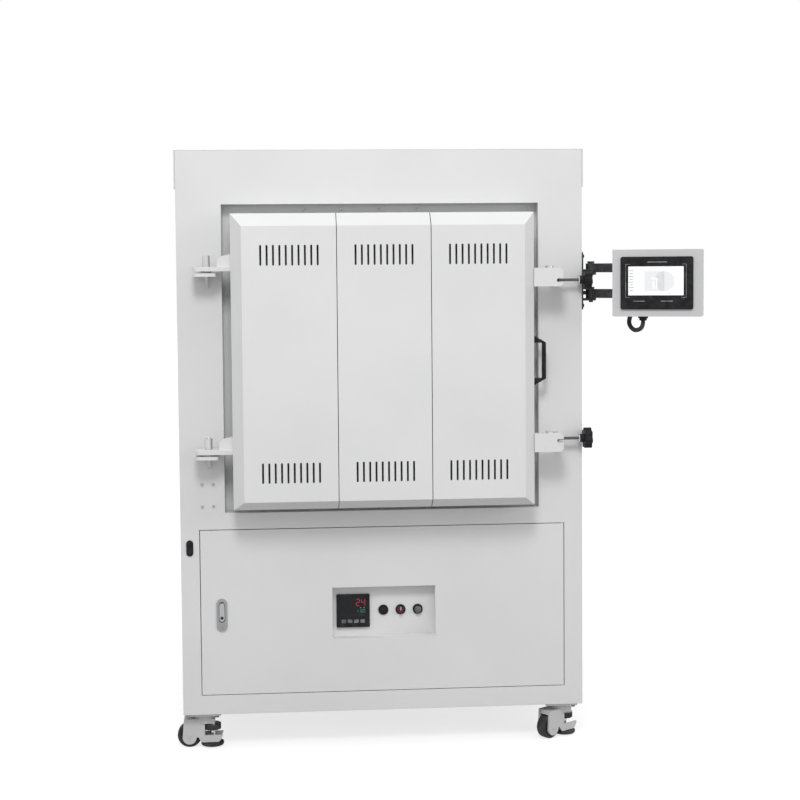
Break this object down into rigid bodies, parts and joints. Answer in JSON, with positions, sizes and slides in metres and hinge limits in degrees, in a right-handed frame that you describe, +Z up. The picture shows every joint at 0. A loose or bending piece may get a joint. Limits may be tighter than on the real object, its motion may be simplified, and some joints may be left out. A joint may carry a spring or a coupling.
{
  "type": "muffle furnace",
  "caption": "Box muffle furnace in a sheet steel cabinet on levelling casters, with a hinged insulated door, recessed control panel and a touch panel on an arm.",
  "frame": {"origin": "on the floor, under the centre of the cabinet footprint", "axes": "+X to the right seen from the front, +Y to the rear, +Z up"},
  "size_m": [1.4851, 1.3465, 1.715],
  "materials": {
    "white_sheet": "satin",
    "door_white": "satin",
    "grey_steel": "matte",
    "ceramic_fibre": "matte",
    "silicon_carbide": "matte",
    "element_wire": "matte",
    "bright_steel": "brushed",
    "transformer_core": "matte",
    "black_plastic": "satin",
    "red_plastic": "gloss",
    "black_metal": "satin",
    "conduit_black": "matte",
    "cast_grey": "satin",
    "tyre_black": "matte",
    "foot_rubber": "matte"
  },
  "bodies": {
    "cabinet": {"front_fascia": "white_sheet", "side_panels": "white_sheet", "rear_panel": "white_sheet", "top_cover": "white_sheet", "hinge_brackets": "door_white", "latch_lugs": "door_white", "frame": "grey_steel", "furnace_casing": "grey_steel", "component_plate": "grey_steel", "chamber_insulation": "ceramic_fibre", "hearth_plate": "silicon_carbide", "heating_elements": "element_wire", "thermocouple": "bright_steel", "cabinet_screws": "bright_steel", "caster_plates": "bright_steel", "transformer": "transformer_core", "switchgear": "black_plastic", "cable_entries": "black_plastic", "arm_wall_plate": "black_metal"},
    "furnace_door": {"door_shell": "door_white", "door_panel_left": "door_white", "door_panel_centre": "door_white", "door_panel_right": "door_white", "door_hinge_arms": "door_white", "latch_arms": "door_white", "door_insulation": "ceramic_fibre", "door_seal": "ceramic_fibre", "door_handle": "black_plastic"},
    "access_door": {"lower_door": "white_sheet", "control_tray": "white_sheet", "temperature_controller": "black_plastic", "latch_body": "bright_steel"},
    "lever": {"latch_lever": "bright_steel"},
    "button_push": {"push_button": "black_plastic"},
    "switch_selector": {"selector_switch": "red_plastic"},
    "button_stop": {"stop_button": "black_plastic"},
    "arm": {"arm_bars": "black_metal", "conduit_wall": "conduit_black"},
    "panel_head": {"arm_head": "black_metal", "hmi_box": "white_sheet", "touch_screen": "black_plastic", "conduit_loop": "conduit_black"},
    "lower_bolt": {"lower_swing_bolt": "bright_steel"},
    "lower_thrust_washer": {"lower_washer": "bright_steel"},
    "lower_knob": {"lower_star_knob": "black_plastic"},
    "upper_bolt": {"upper_swing_bolt": "bright_steel"},
    "upper_thrust_washer": {"upper_washer": "bright_steel"},
    "upper_knob": {"upper_star_knob": "black_plastic"},
    "front_left_swivel": {"caster_front_left_housing": "cast_grey"},
    "front_left_wheel": {"caster_front_left_wheel": "tyre_black"},
    "front_left_foot": {"caster_front_left_foot": "foot_rubber"},
    "front_right_swivel": {"caster_front_right_housing": "cast_grey"},
    "front_right_wheel": {"caster_front_right_wheel": "tyre_black"},
    "front_right_foot": {"caster_front_right_foot": "foot_rubber"},
    "rear_left_swivel": {"caster_rear_left_housing": "cast_grey"},
    "rear_left_wheel": {"caster_rear_left_wheel": "tyre_black"},
    "rear_left_foot": {"caster_rear_left_foot": "foot_rubber"},
    "rear_right_swivel": {"caster_rear_right_housing": "cast_grey"},
    "rear_right_wheel": {"caster_rear_right_wheel": "tyre_black"},
    "rear_right_foot": {"caster_rear_right_foot": "foot_rubber"}
  },
  "joints": [
    {"name": "door_hinge", "type": "hinge", "parent": "cabinet", "child": "furnace_door", "pos_m": [-0.4925, -0.595, 1.113], "axis": [0, 0, 1], "range_deg": [-120, 0]},
    {"name": "lower_bolt_swing", "type": "hinge", "parent": "cabinet", "child": "lower_bolt", "pos_m": [0.495, -0.582, 0.8875], "axis": [0, 0, 1], "range_deg": [-90, 0]},
    {"name": "lower_knob_travel", "type": "slide", "parent": "lower_bolt", "child": "lower_thrust_washer", "axis": [1, 0, 0], "range_m": [0, 0.01]},
    {"name": "lower_knob_turn", "type": "hinge", "parent": "lower_thrust_washer", "child": "lower_knob", "pos_m": [0.57, -0.582, 0.8875], "axis": [1, 0, 0], "range_deg": [-10, 2410]},
    {"name": "upper_bolt_swing", "type": "hinge", "parent": "cabinet", "child": "upper_bolt", "pos_m": [0.495, -0.582, 1.341], "axis": [0, 0, 1], "range_deg": [-90, 0]},
    {"name": "upper_knob_travel", "type": "slide", "parent": "upper_bolt", "child": "upper_thrust_washer", "axis": [1, 0, 0], "range_m": [0, 0.01]},
    {"name": "upper_knob_turn", "type": "hinge", "parent": "upper_thrust_washer", "child": "upper_knob", "pos_m": [0.57, -0.582, 1.341], "axis": [1, 0, 0], "range_deg": [-10, 2410]},
    {"name": "access_door_hinge", "type": "hinge", "parent": "cabinet", "child": "access_door", "pos_m": [0.519, -0.546, 0.3995], "axis": [0, 0, 1], "range_deg": [0, 110]},
    {"name": "lock_lever_lift", "type": "hinge", "parent": "access_door", "child": "lever", "pos_m": [-0.464, -0.547, 0.423], "axis": [1, 0, 0], "range_deg": [-45, 0]},
    {"name": "push_button_press", "type": "slide", "parent": "access_door", "child": "button_push", "axis": [0, 1, 0], "range_m": [0, 0.004], "stiffness_N_per_m": 300, "springref_m": -0.001},
    {"name": "stop_button_press", "type": "slide", "parent": "access_door", "child": "button_stop", "axis": [0, 1, 0], "range_m": [0, 0.004], "stiffness_N_per_m": 300, "springref_m": -0.001},
    {"name": "selector_turn", "type": "hinge", "parent": "access_door", "child": "switch_selector", "pos_m": [0.05, -0.53, 0.39], "axis": [0, 1, 0], "range_deg": [-45, 45]},
    {"name": "arm_swing", "type": "hinge", "parent": "cabinet", "child": "arm", "pos_m": [0.612, -0.512, 1.337], "axis": [0, 0, 1], "range_deg": [-10, 80], "deforming": ["conduit_wall"]},
    {"name": "head_swivel", "type": "hinge", "parent": "arm", "child": "panel_head", "pos_m": [0.7873, -0.63475, 1.332], "axis": [0, 0, 1], "range_deg": [-20, 60], "deforming": ["conduit_loop"]},
    {"name": "front_left_caster_swivel", "type": "hinge", "parent": "cabinet", "child": "front_left_swivel", "pos_m": [-0.518, -0.498, 0.09], "axis": [0, 0, 1], "continuous": true},
    {"name": "front_left_wheel_spin", "type": "hinge", "parent": "front_left_swivel", "child": "front_left_wheel", "pos_m": [-0.563, -0.498, 0.035], "axis": [0, 1, 0], "continuous": true},
    {"name": "front_left_foot_screw", "type": "slide", "parent": "front_left_swivel", "child": "front_left_foot", "axis": [0, 0, -1], "range_m": [0, 0.012]},
    {"name": "front_right_caster_swivel", "type": "hinge", "parent": "cabinet", "child": "front_right_swivel", "pos_m": [0.518, -0.498, 0.09], "axis": [0, 0, 1], "continuous": true},
    {"name": "front_right_wheel_spin", "type": "hinge", "parent": "front_right_swivel", "child": "front_right_wheel", "pos_m": [0.48114, -0.52381, 0.035], "axis": [-0.5736, 0.8192, 0], "continuous": true},
    {"name": "front_right_foot_screw", "type": "slide", "parent": "front_right_swivel", "child": "front_right_foot", "axis": [0, 0, -1], "range_m": [0, 0.012]},
    {"name": "rear_left_caster_swivel", "type": "hinge", "parent": "cabinet", "child": "rear_left_swivel", "pos_m": [-0.518, 0.498, 0.09], "axis": [0, 0, 1], "continuous": true},
    {"name": "rear_left_wheel_spin", "type": "hinge", "parent": "rear_left_swivel", "child": "rear_left_wheel", "pos_m": [-0.563, 0.498, 0.035], "axis": [0, 1, 0], "continuous": true},
    {"name": "rear_left_foot_screw", "type": "slide", "parent": "rear_left_swivel", "child": "rear_left_foot", "axis": [0, 0, -1], "range_m": [0, 0.012]},
    {"name": "rear_right_caster_swivel", "type": "hinge", "parent": "cabinet", "child": "rear_right_swivel", "pos_m": [0.518, 0.498, 0.09], "axis": [0, 0, 1], "continuous": true},
    {"name": "rear_right_wheel_spin", "type": "hinge", "parent": "rear_right_swivel", "child": "rear_right_wheel", "pos_m": [0.473, 0.498, 0.035], "axis": [0, 1, 0], "continuous": true},
    {"name": "rear_right_foot_screw", "type": "slide", "parent": "rear_right_swivel", "child": "rear_right_foot", "axis": [0, 0, -1], "range_m": [0, 0.012]}
  ],
  "couplings": [
    {"joint": "lower_knob_turn", "follows": "lower_knob_travel", "rad_per_m": 4188.8},
    {"joint": "upper_knob_turn", "follows": "upper_knob_travel", "rad_per_m": 4188.8}
  ]
}
